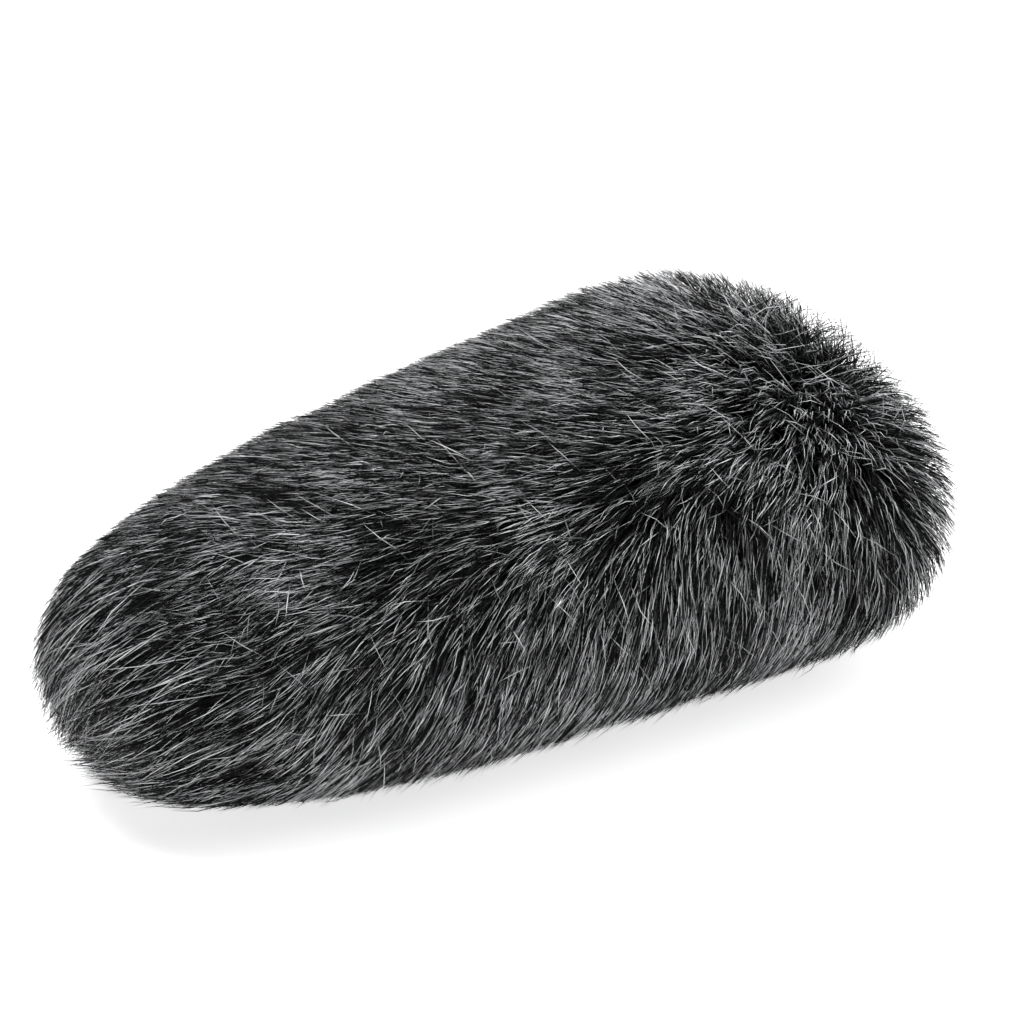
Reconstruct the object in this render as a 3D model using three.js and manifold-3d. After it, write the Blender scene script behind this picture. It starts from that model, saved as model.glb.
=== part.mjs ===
// Furry windscreen: a sewn long-pile fur cover, padded with foam, over a foam insert that grips a
// microphone. Millimetres, +Z up, the belly rests on Z = 0.
// +X runs from the open mouth, where the microphone goes in, to the closed nose.
import * as THREE from 'three';
import { mergeVertices } from 'three/addons/utils/BufferGeometryUtils.js';
import Module from 'manifold-3d';

const wasm = await Module();
wasm.setup();

// ---------------------------------------------------------------- driving dimensions
const GAP = 0.3; // room between two pieces that touch

// Outer shape over the fur, as it lies: wide and tall at the nose, narrow at the mouth.
const FUR_LENGTH = 200;
const NOSE_WIDTH = 143;
const MOUTH_WIDTH = 86;
const NOSE_HEIGHT = 85;
const MOUTH_HEIGHT = 62;
const NOSE_ROUND = 39; // length over which the nose rounds off
const MOUTH_ROUND = 64; // length over which the mouth rounds off
const NOSE_POWER = 2.2;
const MOUTH_POWER = 3; // the mouth is blunter than the nose
const BELLY_FLAT = 3; // how far the belly is pressed flat by what it rests on
const X_NOSE = FUR_LENGTH / 2;
const X_MOUTH = -FUR_LENGTH / 2;

// Fur: depth of the pile, from the tips in to the woven backing.
const PILE_NOSE = 20;
const PILE_HEM = 8;
const PILE_BELLY = 10;

// Stations along X.
const X_LIP = X_MOUTH + 9; // where the rounded end is cut off for the mouth
const X_INSIDE = X_MOUTH + 20; // the inner layers are drawn from here, then cut to length
const X_HEM = -66; // middle of the elastic hem
const X_BAND = -60; // seam between the hem band and the long panels
const X_NOSE_SEAM = 70; // seam between the long panels and the nose panel
const X_PAD_NOSE = 52; // joint between the long pads and the nose pad

// Foam insert: an oval sleeve on a straight axis.
const AXIS_Z = 30;
const INSERT_HALF_WIDTH = 23;
const INSERT_HALF_HEIGHT = 15;
const INSERT_TIP = 66;
const DOME_LENGTH = 10;
const BORE_R = 10; // inside the bore liner, for a microphone of 19 to 20 mm
const BORE_END = 46;
const LINER_WALL = 0.6;
const COLLAR_BACK = -70;
const COLLAR_LENGTH = 6;
const COLLAR_HOLE = 11.9; // radius
const FOAM_BACK = COLLAR_BACK + COLLAR_LENGTH + GAP;
const FOAM_FRONT = INSERT_TIP - DOME_LENGTH;
const FOAM_SPIGOT = 2; // how far the nose plug reaches past the joint with the sleeve
const GROMMET_NECK = COLLAR_HOLE - GAP;
const GROMMET_FLANGE = 13.4;
const GROMMET_LIP = BORE_R - 0.6;
const GROMMET_RELIEF = BORE_R + 0.4; // between the two lips
const LIP_WIDTH = 1.4;
const FLANGE_THICK = 2.2;

// Soft layers and trim.
const TAPE_THICK = 0.8;
const TAPE_WIDTH = 12;
const TAPE_INSET = 4; // from the hem band's seam to the ends of the long tapes
const TAPE_END_GAP = 1; // between the long tapes and the ring of tape at the nose
const NOSE_TAPE_WIDTH = 9;
const PAD_INSET = 2; // from the hem band's seam to the pads
const LINING_THICK = 0.8;
const SLIDE_ROOM = 0.6; // all round the insert, so that it pulls out
const MOUTH_ROOM = 1.1; // the same, through the fur beyond the hem
const CASING_R = 2.4;
const CASING_WALL = 0.5;
const ELASTIC_R = 1.0;
const CRIMP_WALL = 0.3;
const CRIMP_LENGTH = 7;

// How finely curved surfaces are faceted.
const AROUND = 32;
const RING_STEP = 15;
const END_STEPS = 6;
const FINE = 28;
const COARSE = 16;
const HEM_SEGMENTS = 36;
const HEM_SECTION = 8;

const FAR = 300; // reaches past every piece
const PAST = 5; // how far a cutting tool reaches past the face it cuts
const DOME_POWER = 0.7; // under 1, so that the insert's dome is fuller than a half ball

// ---------------------------------------------------------------- materials
const material = (color, roughness, metalness = 0) =>
  new THREE.MeshStandardMaterial({ color, roughness, metalness });
const FUR = material(0x34373a, 0.9);
const FOAM = material(0x2b2c2e, 0.95);
const KNIT = material(0x1f2022, 0.9);
const TAPE = material(0x26272a, 0.85);
const ELASTIC = material(0x151618, 0.7);
const STEEL = material(0x9a9c9e, 0.35, 1);
const PLASTIC = material(0x1b1c1e, 0.5);
const RUBBER = material(0x121213, 0.7);

// ---------------------------------------------------------------- solids
const { lerp, clamp, degToRad } = THREE.MathUtils;

function solidOf(geometry) {
  const bare = geometry.clone();
  bare.deleteAttribute('normal');
  bare.deleteAttribute('uv');
  const merged = mergeVertices(bare, 1e-4);
  return new wasm.Manifold(
    new wasm.Mesh({
      numProp: 3,
      vertProperties: merged.attributes.position.array,
      triVerts: new Uint32Array(merged.index.array),
    }),
  );
}

function meshOf(name, solid, finish) {
  const { numProp, vertProperties, triVerts } = solid.getMesh();
  const geometry = new THREE.BufferGeometry();
  const corners = new THREE.InterleavedBuffer(vertProperties, numProp);
  geometry.setAttribute('position', new THREE.InterleavedBufferAttribute(corners, 3, 0));
  geometry.setIndex(new THREE.BufferAttribute(triVerts, 1));
  const plain = geometry.toNonIndexed();
  plain.computeVertexNormals();
  const mesh = new THREE.Mesh(plain, finish);
  mesh.name = name;
  return mesh;
}

// A solid of revolution about X: points are [x, radius], from low X to high X, ends on the axis.
function turned(points, segments = FINE) {
  const profile = points.map(([x, r]) => new THREE.Vector2(r, x));
  const geometry = new THREE.LatheGeometry(profile, segments);
  geometry.rotateZ(-Math.PI / 2);
  return geometry;
}

// The same, moved on to the insert's axis.
function turnedOnAxis(points, segments = FINE) {
  return solidOf(turned(points, segments).translate(0, 0, AXIS_Z));
}

function slab(xLow, xHigh) {
  const box = new THREE.BoxGeometry(xHigh - xLow, FAR, FAR);
  return solidOf(box.translate((xLow + xHigh) / 2, 0, 0));
}

// A wedge along X between two angles about the insert's axis, 0 being +Y and 90 being +Z.
function wedge(fromDeg, toDeg) {
  const middle = degToRad((fromDeg + toDeg) / 2);
  const half = degToRad((toDeg - fromDeg) / 2);
  const apex = GAP / 2 / Math.sin(half);
  const outline = new THREE.Shape();
  outline.moveTo(apex * Math.cos(middle), apex * Math.sin(middle));
  for (const turn of [-1, -0.5, 0, 0.5, 1]) {
    const angle = middle + turn * half;
    outline.lineTo(
      apex * Math.cos(middle) + FAR * Math.cos(angle),
      apex * Math.sin(middle) + FAR * Math.sin(angle),
    );
  }
  const prism = new THREE.ExtrudeGeometry(outline, { depth: 2 * FAR, bevelEnabled: false });
  prism.translate(0, 0, -FAR);
  // The outline's x and y become Y and Z, and its depth becomes X.
  prism.applyMatrix4(
    new THREE.Matrix4().makeBasis(
      new THREE.Vector3(0, 1, 0),
      new THREE.Vector3(0, 0, 1),
      new THREE.Vector3(1, 0, 0),
    ),
  );
  return solidOf(prism.translate(0, 0, AXIS_Z));
}

// ---------------------------------------------------------------- the cover's layers
// 1 along the straight part, down to 0 at a rounded end.
function endRound(distance, length, power) {
  const inside = clamp((length - distance) / length, 0, 1);
  return Math.sqrt(1 - inside ** power);
}

// Depth of the pile at a station, thinner where the fur lies down towards the hem.
function pileAt(x) {
  return lerp(PILE_HEM, PILE_NOSE, clamp((x - X_HEM) / (X_NOSE_SEAM - X_HEM), 0, 1));
}

// Cross-section of the cover: on the fur tips, or below them at the backing and deeper.
function coverSection(x, below) {
  const t = (x - X_MOUTH) / FUR_LENGTH;
  let halfWidth = lerp(MOUTH_WIDTH, NOSE_WIDTH, t) / 2;
  let halfHeight = lerp(MOUTH_HEIGHT, NOSE_HEIGHT, t) / 2;
  let centre = halfHeight - BELLY_FLAT;
  const mouth = endRound(x - X_MOUTH, MOUTH_ROUND, MOUTH_POWER);
  halfWidth *= mouth;
  halfHeight *= mouth;
  let size = endRound(X_NOSE - x, NOSE_ROUND, NOSE_POWER);
  if (below !== null) {
    const side = pileAt(x) + below;
    const belly = PILE_BELLY - BELLY_FLAT + below;
    halfWidth -= side;
    halfHeight -= (side + belly) / 2;
    centre += (belly - side) / 2;
    size = endRound(X_NOSE - PILE_NOSE - below - x, NOSE_ROUND - PILE_NOSE / 2, NOSE_POWER);
  }
  return { halfWidth, halfHeight, centre, size };
}

// A closed body through the cover's sections from xLow to its nose.
function coverBody(xLow, below) {
  const xHigh = below === null ? X_NOSE : X_NOSE - PILE_NOSE - below;
  const straight = xHigh - NOSE_ROUND;
  const steps = Math.ceil((straight - xLow) / RING_STEP);
  const stations = [];
  for (let i = 0; i < steps; i++) stations.push(lerp(xLow, straight, i / steps));
  for (let i = 0; i <= END_STEPS; i++) {
    stations.push(straight + NOSE_ROUND * Math.sin(((i / END_STEPS) * Math.PI) / 2));
  }
  const profile = [[xLow, 0]];
  for (const x of stations) profile.push([x, x < xHigh - 1e-6 ? 1 : 0]);
  const geometry = turned(profile, AROUND);
  const place = geometry.attributes.position;
  for (let i = 0; i < place.count; i++) {
    const x = place.getX(i);
    const s = coverSection(x, below);
    const y = place.getY(i) * s.halfWidth * s.size;
    const z = s.centre + place.getZ(i) * s.halfHeight * s.size;
    place.setXYZ(i, x, y, below === null ? Math.max(z, 0) : z);
  }
  return solidOf(geometry);
}

// An oval tube or rod along the insert's axis, domed at its nose.
function ovalBody(xLow, xTip, grow, dome = DOME_LENGTH) {
  const profile = [[xLow, 0], [xLow, 1]];
  for (let i = 0; i <= END_STEPS; i++) {
    const angle = ((i / END_STEPS) * Math.PI) / 2;
    const radius = i < END_STEPS ? Math.cos(angle) ** DOME_POWER : 0;
    profile.push([xTip - dome + dome * Math.sin(angle), radius]);
  }
  const geometry = turned(profile, AROUND);
  geometry.scale(1, INSERT_HALF_WIDTH + grow, INSERT_HALF_HEIGHT + grow);
  return solidOf(geometry.translate(0, 0, AXIS_Z));
}

const ovalRod = (xLow, xHigh, grow) => ovalBody(xLow, xHigh + FAR, grow).intersect(slab(xLow, xHigh));

// The four long panels and pads meet on lines through the corners of the oval insert.
const CORNER = THREE.MathUtils.radToDeg(Math.atan2(INSERT_HALF_HEIGHT, INSERT_HALF_WIDTH)) + 2;
const QUARTERS = {
  top: [CORNER, 180 - CORNER],
  left: [-CORNER, CORNER],
  belly: [180 + CORNER, 360 - CORNER],
  right: [180 - CORNER, 180 + CORNER],
};

const LAYER_TAPE = GAP;
const LAYER_PAD = GAP + TAPE_THICK + GAP;

const group = new THREE.Group();
group.name = 'furry_windscreen';

// ---------------------------------------------------------------- fur
function furPieces() {
  const backing = coverBody(X_INSIDE, 0);
  const pile = coverBody(X_MOUTH + 1, null).subtract(backing);
  const long = pile.intersect(slab(X_BAND + GAP, X_NOSE_SEAM - GAP));
  for (const [side, [from, to]] of Object.entries(QUARTERS)) {
    group.add(meshOf(`fur_${side}_panel`, long.intersect(wedge(from, to)), FUR));
  }
  const nose = pile.intersect(slab(X_NOSE_SEAM, FAR));
  group.add(meshOf('fur_nose_panel', nose, FUR));
}

// The band of fur sewn round the mouth: its pile hangs past the hem.
function furHemBand() {
  const outer = coverBody(X_MOUTH + 1, null).intersect(slab(X_LIP, X_BAND));
  const room = SLIDE_ROOM + 2 * CASING_R + GAP;
  const hole = ovalRod(X_LIP - PAST, X_BAND + PAST, MOUTH_ROOM);
  const nest = ovalRod(X_HEM - CASING_R - GAP, X_BAND + PAST, room);
  group.add(meshOf('fur_hem_band', outer.subtract(hole).subtract(nest), FUR));
}

// ---------------------------------------------------------------- seam tapes under the backing
function seamTapes() {
  const layer = coverBody(X_INSIDE, LAYER_TAPE).subtract(
    coverBody(X_INSIDE - 1, LAYER_TAPE + TAPE_THICK),
  );
  const noseTapeBack = X_NOSE_SEAM - TAPE_WIDTH / 2;
  const long = layer.intersect(slab(X_BAND + TAPE_INSET, noseTapeBack - TAPE_END_GAP));
  const names = {
    seam_tape_top_left: CORNER,
    seam_tape_top_right: 180 - CORNER,
    seam_tape_belly_right: 180 + CORNER,
    seam_tape_belly_left: 360 - CORNER,
  };
  for (const [name, angle] of Object.entries(names)) {
    const strip = new THREE.BoxGeometry(FAR, FAR / 2, TAPE_WIDTH);
    strip.translate(0, FAR / 4, 0).rotateX(degToRad(angle)).translate(0, 0, AXIS_Z);
    group.add(meshOf(name, long.intersect(solidOf(strip)), TAPE));
  }
  const noseRing = layer.intersect(slab(noseTapeBack, noseTapeBack + NOSE_TAPE_WIDTH));
  group.add(meshOf('seam_tape_nose', noseRing, TAPE));
}

// ---------------------------------------------------------------- foam pads and their lining
function foamPads() {
  const lining = SLIDE_ROOM + LINING_THICK + GAP;
  const body = coverBody(X_INSIDE, LAYER_PAD).subtract(
    ovalBody(X_INSIDE - 1, INSERT_TIP + lining, lining, DOME_LENGTH + lining),
  );
  const long = body.intersect(slab(X_BAND + PAD_INSET, X_PAD_NOSE - GAP));
  for (const [side, [from, to]] of Object.entries(QUARTERS)) {
    group.add(meshOf(`foam_pad_${side}`, long.intersect(wedge(from, to)), FOAM));
  }
  group.add(meshOf('foam_pad_nose', body.intersect(slab(X_PAD_NOSE, FAR)), FOAM));
}

// A knitted sock that the insert slides in.
function pocketLining() {
  const open = X_HEM + CASING_R + GAP;
  const outside = SLIDE_ROOM + LINING_THICK;
  const sock = ovalBody(open, INSERT_TIP + outside, outside, DOME_LENGTH + outside).subtract(
    ovalBody(open - PAST, INSERT_TIP + SLIDE_ROOM, SLIDE_ROOM, DOME_LENGTH + SLIDE_ROOM),
  );
  group.add(meshOf('pocket_lining', sock, KNIT));
}

// ---------------------------------------------------------------- elastic hem
class OvalPath extends THREE.Curve {
  // The middle line of the hem, round the insert, beginning under the belly.
  getPoint(t, target = new THREE.Vector3()) {
    const angle = 2 * Math.PI * t - Math.PI / 2;
    const reach = SLIDE_ROOM + CASING_R;
    return target.set(
      X_HEM,
      (INSERT_HALF_WIDTH + reach) * Math.cos(angle),
      AXIS_Z + (INSERT_HALF_HEIGHT + reach) * Math.sin(angle),
    );
  }
}

// A ring of round section swept round the hem.
function hemRing(radius) {
  const ring = new THREE.TorusGeometry(FAR, radius, HEM_SECTION, HEM_SEGMENTS);
  const path = new OvalPath();
  const spots = ring.attributes.position;
  const centre = new THREE.Vector3();
  const ahead = new THREE.Vector3();
  for (let i = 0; i < spots.count; i++) {
    const flat = Math.hypot(spots.getX(i), spots.getY(i));
    const t = (Math.atan2(spots.getY(i), spots.getX(i)) / (2 * Math.PI) + 1) % 1;
    path.getPoint(t, centre);
    path.getPoint(t + 1e-4, ahead);
    const out = new THREE.Vector3(0, ahead.z - centre.z, centre.y - ahead.y).normalize();
    centre.addScaledVector(out, flat - FAR);
    spots.setXYZ(i, centre.x + spots.getZ(i), centre.y, centre.z);
  }
  return solidOf(ring);
}

function elasticHem() {
  const slot = new THREE.BoxGeometry(2 * ELASTIC_R, 3 * CRIMP_LENGTH, FAR);
  const slotTool = solidOf(slot.translate(X_HEM + CASING_R, 0, AXIS_Z - FAR / 2));
  const channel = hemRing(CASING_R - CASING_WALL);
  const casing = hemRing(CASING_R).subtract(channel).subtract(slotTool);
  group.add(meshOf('hem_casing', casing, KNIT));
  group.add(meshOf('hem_elastic', hemRing(ELASTIC_R), ELASTIC));
}

// The metal sleeve that joins the elastic's two ends.
function elasticCrimp() {
  const inner = ELASTIC_R + GAP;
  const sleeve = turned([
    [-CRIMP_LENGTH / 2, inner],
    [-CRIMP_LENGTH / 2, inner + CRIMP_WALL],
    [CRIMP_LENGTH / 2, inner + CRIMP_WALL],
    [CRIMP_LENGTH / 2, inner],
    [-CRIMP_LENGTH / 2, inner],
  ], COARSE);
  const low = new OvalPath().getPoint(0);
  sleeve.rotateZ(Math.PI / 2).translate(low.x, low.y, low.z);
  group.add(meshOf('elastic_crimp', solidOf(sleeve), STEEL));
}

// ---------------------------------------------------------------- foam insert
const insert = new THREE.Group();
insert.name = 'insert';
group.add(insert);

// Two halves of foam glued round the bore.
function foamSleeve() {
  const bore = turnedOnAxis([
    [FOAM_BACK - PAST, 0],
    [FOAM_BACK - PAST, GROMMET_FLANGE + GAP],
    [FOAM_BACK + FLANGE_THICK + GAP, GROMMET_FLANGE + GAP],
    [FOAM_BACK + FLANGE_THICK + GAP, BORE_R + LINER_WALL + GAP],
    [FOAM_FRONT + PAST, BORE_R + LINER_WALL + GAP],
    [FOAM_FRONT + PAST, 0],
  ]);
  const sleeve = ovalRod(FOAM_BACK, FOAM_FRONT, 0).subtract(bore);
  const above = new THREE.BoxGeometry(FAR, FAR, FAR).translate(0, 0, AXIS_Z + (FAR + GAP) / 2);
  const below = new THREE.BoxGeometry(FAR, FAR, FAR).translate(0, 0, AXIS_Z - (FAR + GAP) / 2);
  insert.add(meshOf('foam_sleeve_upper', sleeve.intersect(solidOf(above)), FOAM));
  insert.add(meshOf('foam_sleeve_lower', sleeve.intersect(solidOf(below)), FOAM));
}

// A domed end with a spigot that stops the bore.
function foamNosePlug() {
  const dome = ovalBody(0, INSERT_TIP, 0).intersect(slab(FOAM_FRONT + GAP, FAR));
  const spigot = turnedOnAxis([
    [BORE_END, 0],
    [BORE_END, BORE_R + LINER_WALL],
    [FOAM_FRONT + FOAM_SPIGOT, BORE_R + LINER_WALL],
    [FOAM_FRONT + FOAM_SPIGOT, 0],
  ]);
  insert.add(meshOf('foam_nose_plug', dome.add(spigot), FOAM));
}

function boreLiner() {
  const back = FOAM_BACK + FLANGE_THICK + 2 * GAP;
  const front = BORE_END - GAP;
  const tube = turnedOnAxis([
    [back, BORE_R],
    [back, BORE_R + LINER_WALL],
    [front, BORE_R + LINER_WALL],
    [front, BORE_R],
    [back, BORE_R],
  ]);
  insert.add(meshOf('bore_liner', tube, KNIT));
}

// The plastic ring glued to the back of the foam.
function endCollar() {
  const ring = ovalRod(COLLAR_BACK, COLLAR_BACK + COLLAR_LENGTH, 0);
  const hole = turnedOnAxis([
    [COLLAR_BACK - PAST, 0],
    [COLLAR_BACK - PAST, COLLAR_HOLE],
    [COLLAR_BACK + COLLAR_LENGTH + PAST, COLLAR_HOLE],
    [COLLAR_BACK + COLLAR_LENGTH + PAST, 0],
  ]);
  insert.add(meshOf('end_collar', ring.subtract(hole), PLASTIC));
}

// The rubber grommet in the collar: two lips inside it grip the microphone.
function micGrommet() {
  const back = COLLAR_BACK - GAP - FLANGE_THICK;
  const front = FOAM_BACK + FLANGE_THICK;
  const neckBack = COLLAR_BACK - GAP;
  const neckFront = FOAM_BACK;
  const grommet = turnedOnAxis([
    [back, GROMMET_LIP],
    [back, GROMMET_FLANGE],
    [neckBack, GROMMET_FLANGE],
    [neckBack, GROMMET_NECK],
    [neckFront, GROMMET_NECK],
    [neckFront, GROMMET_FLANGE],
    [front, GROMMET_FLANGE],
    [front, GROMMET_LIP],
    [front - LIP_WIDTH, GROMMET_LIP],
    [front - 2 * LIP_WIDTH, GROMMET_RELIEF],
    [back + 2 * LIP_WIDTH, GROMMET_RELIEF],
    [back + LIP_WIDTH, GROMMET_LIP],
    [back, GROMMET_LIP],
  ]);
  insert.add(meshOf('mic_grommet', grommet, RUBBER));
}

furPieces();
furHemBand();
seamTapes();
foamPads();
pocketLining();
elasticHem();
elasticCrimp();
foamSleeve();
foamNosePlug();
boreLiner();
endCollar();
micGrommet();

// The origin is under the middle of the whole length.
group.position.x = -(X_LIP + X_NOSE) / 2;

export default group;
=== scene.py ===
"""Furry windscreen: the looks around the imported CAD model. Metres, +Z up, +X towards the closed nose."""

import math

import bmesh
import bpy
import numpy as np
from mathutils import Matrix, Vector
from mathutils.kdtree import KDTree


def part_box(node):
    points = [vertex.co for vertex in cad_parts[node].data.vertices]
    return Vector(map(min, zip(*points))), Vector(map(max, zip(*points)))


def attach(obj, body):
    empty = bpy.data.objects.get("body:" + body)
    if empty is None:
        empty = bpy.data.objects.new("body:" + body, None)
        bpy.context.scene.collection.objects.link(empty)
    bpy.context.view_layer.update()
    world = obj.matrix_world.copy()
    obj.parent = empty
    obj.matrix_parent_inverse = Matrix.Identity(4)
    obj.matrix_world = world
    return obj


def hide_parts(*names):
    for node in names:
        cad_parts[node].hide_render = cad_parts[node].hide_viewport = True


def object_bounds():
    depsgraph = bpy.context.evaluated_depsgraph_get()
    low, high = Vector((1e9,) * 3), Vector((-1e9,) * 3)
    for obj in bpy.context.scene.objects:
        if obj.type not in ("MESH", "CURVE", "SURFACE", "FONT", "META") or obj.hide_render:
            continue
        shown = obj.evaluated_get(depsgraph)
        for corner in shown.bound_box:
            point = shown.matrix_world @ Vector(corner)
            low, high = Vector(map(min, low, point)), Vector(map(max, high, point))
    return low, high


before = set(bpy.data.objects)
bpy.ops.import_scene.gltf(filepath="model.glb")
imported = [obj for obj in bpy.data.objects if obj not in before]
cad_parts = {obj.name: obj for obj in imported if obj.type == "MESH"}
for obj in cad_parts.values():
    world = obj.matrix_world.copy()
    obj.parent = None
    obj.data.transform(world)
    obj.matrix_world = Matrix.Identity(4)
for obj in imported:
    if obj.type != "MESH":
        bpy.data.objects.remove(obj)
cad_low, cad_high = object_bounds()
rng = np.random.default_rng(41)
MM = 0.001

# ------------------------------------------------------------------ sizes, from the frame
COVER, INSERT = "fur_cover", "foam_insert"
X_NOSE = cad_high.x
FUR_LENGTH = 200 * MM
X_MOUTH = X_NOSE - FUR_LENGTH
NOSE_WIDTH, MOUTH_WIDTH = 143 * MM, 86 * MM
NOSE_HEIGHT, MOUTH_HEIGHT = 85 * MM, 62 * MM
NOSE_ROUND, MOUTH_ROUND = 39 * MM, 64 * MM
NOSE_POWER, MOUTH_POWER = 2.2, 3
BELLY_FLAT = 3 * MM
PILE_NOSE, PILE_HEM, PILE_BELLY = 20 * MM, 8 * MM, 10 * MM
TIP_INSET = 1.7 * MM  # the hairs thin out this far below the outline
TIP_MOUTH_ROUND = 99 * MM
TIP_NOSE_POWER = 2.35

collar_low, collar_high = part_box("end_collar")
AXIS_Z = (collar_low.z + collar_high.z) / 2
HALF_WIDTH, HALF_HEIGHT = collar_high.y, collar_high.z - AXIS_Z
casing_low, casing_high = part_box("hem_casing")
X_HEM = (casing_low.x + casing_high.x) / 2
X_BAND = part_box("fur_hem_band")[1].x
X_NOSE_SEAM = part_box("fur_nose_panel")[0].x
CORNER = math.atan2(HALF_HEIGHT, HALF_WIDTH) + math.radians(2)
FUR_PANELS = [
    "fur_top_panel", "fur_left_panel", "fur_belly_panel",
    "fur_right_panel", "fur_nose_panel", "fur_hem_band",
]

# ------------------------------------------------------------------ camera
VIEW_AZIMUTH, VIEW_ELEVATION = math.radians(-36.8), math.radians(24.8)
VIEW_DISTANCE = 712 * MM
VIEW_TARGET = Vector((4.0, -1.6, 41.3)) * MM
LENS = 123


def make_camera():
    """The camera, placed against the photo."""
    data = bpy.data.cameras.new("camera")
    data.lens = LENS
    camera = bpy.data.objects.new("camera", data)
    bpy.context.scene.collection.objects.link(camera)
    a, e = VIEW_AZIMUTH, VIEW_ELEVATION
    back = Vector((math.sin(a) * math.cos(e), -math.cos(a) * math.cos(e), math.sin(e)))
    camera.location = VIEW_TARGET + back * VIEW_DISTANCE
    camera.rotation_mode = "QUATERNION"
    camera.rotation_quaternion = (-back).to_track_quat("-Z", "Y")
    bpy.context.scene.camera = camera


make_camera()


# ------------------------------------------------------------------ the cover's shape
def lerp(a, b, t):
    """From a at t = 0 to b at t = 1."""
    return a + (b - a) * t


def end_round(distance, length, power):
    """1 along the straight part, down to 0 at a rounded end."""
    inside = np.clip((length - distance) / length, 0, 1)
    return np.sqrt(1 - inside**power)


def pile_at(x):
    """The pile's depth at a station, thinner where the fur lies down towards the hem."""
    return lerp(PILE_HEM, PILE_NOSE, np.clip((x - X_HEM) / (X_NOSE_SEAM - X_HEM), 0, 1))


def cover_section(x, depth=None):
    """Half width, half height, centre and size of a section: of the tips, or of the backing and deeper."""
    t = (x - X_MOUTH) / FUR_LENGTH
    half_width = lerp(MOUTH_WIDTH, NOSE_WIDTH, t) / 2
    half_height = lerp(MOUTH_HEIGHT, NOSE_HEIGHT, t) / 2
    centre = half_height - BELLY_FLAT
    mouth = end_round(x - X_MOUTH, MOUTH_ROUND, MOUTH_POWER)
    half_width, half_height = half_width * mouth, half_height * mouth
    if depth is None:
        return half_width, half_height, centre, end_round(X_NOSE - x, NOSE_ROUND, NOSE_POWER)
    side = pile_at(x) + depth
    belly = PILE_BELLY - BELLY_FLAT + depth
    size = end_round(X_NOSE - PILE_NOSE - depth - x, NOSE_ROUND - PILE_NOSE / 2, NOSE_POWER)
    return half_width - side, half_height - (side + belly) / 2, centre + (belly - side) / 2, size


def level(points, mouth=1.0):
    """1 on the surface that the hairs' tips lie on, less inside it and more outside."""
    x = points[:, 0]
    t = (x - X_MOUTH) / FUR_LENGTH
    w = lerp(MOUTH_WIDTH, NOSE_WIDTH, t) / 2 - TIP_INSET
    h = lerp(MOUTH_HEIGHT, NOSE_HEIGHT, t) / 2 - TIP_INSET
    c = lerp(MOUTH_HEIGHT, NOSE_HEIGHT, t) / 2 - BELLY_FLAT
    nose = np.clip(1 - (X_NOSE - TIP_INSET / 2 - x) / NOSE_ROUND, 0, 2) ** TIP_NOSE_POWER
    end = np.clip(1 - (x - X_MOUTH) / TIP_MOUTH_ROUND, 0, 2) ** MOUTH_POWER
    return np.sqrt((points[:, 1] / w) ** 2 + ((points[:, 2] - c) / h) ** 2 + nose + mouth * end)


def outside(points, mouth=1.0):
    """Unit vectors out of the cover, and the depths below the tips' surface."""
    step = 0.3 * MM
    here = level(points, mouth)
    slope = np.stack([level(points + step * np.eye(3)[k], mouth) - here for k in range(3)], 1) / step
    size = np.maximum(np.linalg.norm(slope, axis=1), 1.0)
    return slope / size[:, None], (1 - here) / size


def unit(v):
    """The vectors of an array at length 1."""
    return v / np.maximum(np.linalg.norm(v, axis=-1, keepdims=True), 1e-9)


BACKING_RINGS, BACKING_NOSE_RINGS = 90, 30
HEM_GAP = 0.3 * MM  # between the hem's casing and the backing round it


def backing_rings(depth):
    """The woven backing from the hem to the nose, as rows of x, half width, half height and centre."""
    x_tip = X_NOSE - PILE_NOSE - depth
    straight = x_tip - (NOSE_ROUND - PILE_NOSE / 2)
    x = np.concatenate([
        np.linspace(X_HEM, straight, BACKING_RINGS - BACKING_NOSE_RINGS, endpoint=False),
        straight + (x_tip - straight) * np.sin(np.linspace(0, math.pi / 2, BACKING_NOSE_RINGS)),
    ])
    w, h, c, size = cover_section(x, depth)
    turn = np.clip((x - X_HEM) / (X_BAND + 2 * MM - X_HEM), 0, 1)
    turn = np.sqrt(turn * (2 - turn))
    room = casing_high.y + HEM_GAP - depth
    tall = casing_high.z - AXIS_Z + HEM_GAP - depth
    rows = np.stack([x, w * size, h * size, c], 1)
    hem = np.stack([x, np.full_like(x, room), np.full_like(x, tall), np.full_like(x, AXIS_Z)], 1)
    return lerp(hem, rows, turn[:, None])


def ring_grid(rings, around):
    """Points on the rings, as an array of ring by angle by xyz."""
    angle = np.linspace(0, 2 * math.pi, around, endpoint=False)
    x = np.repeat(rings[:, :1], around, 1)
    y = rings[:, 1:2] * np.cos(angle)
    z = rings[:, 3:4] + rings[:, 2:3] * np.sin(angle)
    return np.stack([x, y, z], -1)


# ------------------------------------------------------------------ smooth noise
class Waves:
    """Smooth noise in space, about -1 to 1, as a sum of sine waves."""

    def __init__(self, wavelength, count=10):
        self.k = unit(rng.normal(size=(count, 3))) * (2 * math.pi / wavelength)
        self.k *= rng.uniform(0.6, 1.6, (count, 1))
        self.phase = rng.uniform(0, 2 * math.pi, count)
        self.gain = math.sqrt(2 / count)

    def __call__(self, points):
        return np.sin(points @ self.k.T + self.phase).sum(1) * self.gain


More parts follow.
